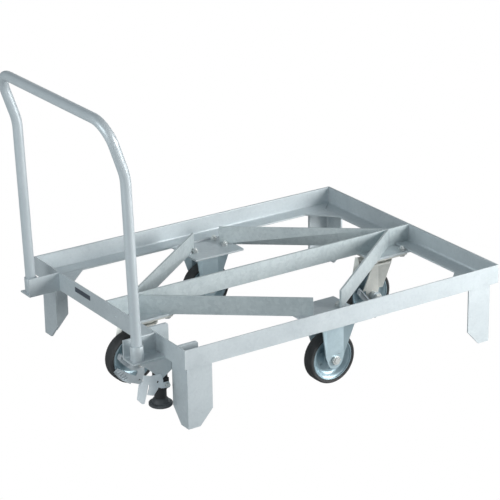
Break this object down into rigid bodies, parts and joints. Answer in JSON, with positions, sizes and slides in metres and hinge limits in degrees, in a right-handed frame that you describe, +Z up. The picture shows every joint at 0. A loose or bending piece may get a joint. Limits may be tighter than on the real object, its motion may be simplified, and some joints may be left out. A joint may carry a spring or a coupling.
{
  "type": "plant trolley",
  "caption": "Low galvanised angle-frame trolley with diagonal braces, corner feet, fixed side wheels, swivel end wheels, a floor lock and a lift-off push handle.",
  "frame": {"origin": "on the floor under the middle of the whole trolley's footprint, push handle included; the load frame's own centre is 75.88 mm in front of it", "axes": "+X along the trolley, away from the push handle; +Y to the left of a person pushing it; +Z up"},
  "size_m": [1.2018, 0.832, 0.8823],
  "materials": {
    "galvanised": "hot-dip galvanised, matt with a fine spangle",
    "zinc_plate": "bright zinc plate, satin",
    "bright_steel": "zinc-plated fasteners, satin",
    "tyre_rubber": "moulded black rubber",
    "pad_rubber": "dark grey moulded rubber",
    "black_steel": "black paint, satin",
    "label_plate": "plain dark plate, blank"
  },
  "bodies": {
    "frame": {"side_rail_near": "galvanised", "side_rail_far": "galvanised", "end_rail_handle": "galvanised", "end_rail_front": "galvanised", "centre_beam": "galvanised", "brace_near_handle": "galvanised", "brace_far_handle": "galvanised", "brace_near_front": "galvanised", "brace_far_front": "galvanised", "foot_near_handle": "galvanised", "foot_near_front": "galvanised", "foot_far_handle": "galvanised", "foot_far_front": "galvanised", "corner_gussets": "galvanised", "caster_plate_near": "galvanised", "caster_plate_far": "galvanised", "swivel_plate_handle": "galvanised", "swivel_plate_front": "galvanised", "handle_bracket_near": "galvanised", "handle_bracket_far": "galvanised", "handle_socket_near": "galvanised", "handle_socket_far": "galvanised", "end_rib_inner": "galvanised", "end_rib_outer": "galvanised", "lock_housing": "galvanised", "fixed_fork_near": "zinc_plate", "fixed_fork_far": "zinc_plate", "swivel_head_handle": "zinc_plate", "swivel_head_front": "zinc_plate", "caster_bolts": "bright_steel", "caster_nuts": "bright_steel", "fixed_axles": "bright_steel", "fixed_axle_nuts": "bright_steel", "king_pin_handle": "bright_steel", "king_pin_front": "bright_steel", "swivel_balls": "bright_steel", "lock_pivot": "bright_steel", "lock_sleeve": "black_steel", "blank_label": "label_plate"},
    "wheel_near": {"tyre_near": "tyre_rubber", "wheel_disc_near": "zinc_plate"},
    "wheel_far": {"tyre_far": "tyre_rubber", "wheel_disc_far": "zinc_plate"},
    "swivel_handle": {"swivel_fork_handle": "zinc_plate", "axle_handle": "bright_steel", "axle_nut_handle": "bright_steel"},
    "wheel_handle": {"tyre_handle": "tyre_rubber", "wheel_disc_handle": "zinc_plate"},
    "brake_handle": {"brake_pedal_handle": "zinc_plate"},
    "swivel_front": {"swivel_fork_front": "zinc_plate", "axle_front": "bright_steel", "axle_nut_front": "bright_steel"},
    "wheel_front": {"tyre_front": "tyre_rubber", "wheel_disc_front": "zinc_plate"},
    "brake_front": {"brake_pedal_front": "zinc_plate"},
    "lock_lever": {"lock_pedal": "zinc_plate"},
    "lock_foot": {"lock_stem": "black_steel", "lock_pad": "pad_rubber"},
    "handle": {"push_handle": "galvanised"}
  },
  "joints": [
    {"name": "wheel_near_spin", "type": "hinge", "parent": "frame", "child": "wheel_near", "pos_m": [0.07588, -0.322, 0.075], "axis": [0, 1, 0], "continuous": true},
    {"name": "wheel_far_spin", "type": "hinge", "parent": "frame", "child": "wheel_far", "pos_m": [0.07588, 0.322, 0.075], "axis": [0, 1, 0], "continuous": true},
    {"name": "swivel_handle_turn", "type": "hinge", "parent": "frame", "child": "swivel_handle", "pos_m": [-0.33212, 0, 0.17], "axis": [0, 0, 1], "continuous": true},
    {"name": "wheel_handle_spin", "type": "hinge", "parent": "swivel_handle", "child": "wheel_handle", "pos_m": [-0.37412, 0, 0.075], "axis": [0, 1, 0], "continuous": true},
    {"name": "brake_handle_press", "type": "hinge", "parent": "swivel_handle", "child": "brake_handle", "pos_m": [-0.37412, -0.0515, 0.075], "axis": [0, -1, 0], "range_deg": [0, 18]},
    {"name": "swivel_front_turn", "type": "hinge", "parent": "frame", "child": "swivel_front", "pos_m": [0.48388, 0, 0.17], "axis": [0, 0, 1], "continuous": true},
    {"name": "wheel_front_spin", "type": "hinge", "parent": "swivel_front", "child": "wheel_front", "pos_m": [0.44188, 0, 0.075], "axis": [0, 1, 0], "continuous": true},
    {"name": "brake_front_press", "type": "hinge", "parent": "swivel_front", "child": "brake_front", "pos_m": [0.44188, -0.0515, 0.075], "axis": [0, -1, 0], "range_deg": [0, 18]},
    {"name": "lock_press", "type": "hinge", "parent": "frame", "child": "lock_lever", "pos_m": [-0.45012, -0.322, 0.129], "axis": [0, -1, 0], "range_deg": [0, 40]},
    {"name": "lock_drop", "type": "slide", "parent": "frame", "child": "lock_foot", "axis": [0, 0, -1], "range_m": [0, 0.0615]},
    {"name": "handle_lift", "type": "slide", "parent": "frame", "child": "handle", "axis": [-0.0297, 0, 0.9996], "range_m": [0, 0.08]}
  ],
  "couplings": [
    {"joint": "lock_drop", "follows": "lock_press", "m_per_rad": 0.088}
  ]
}
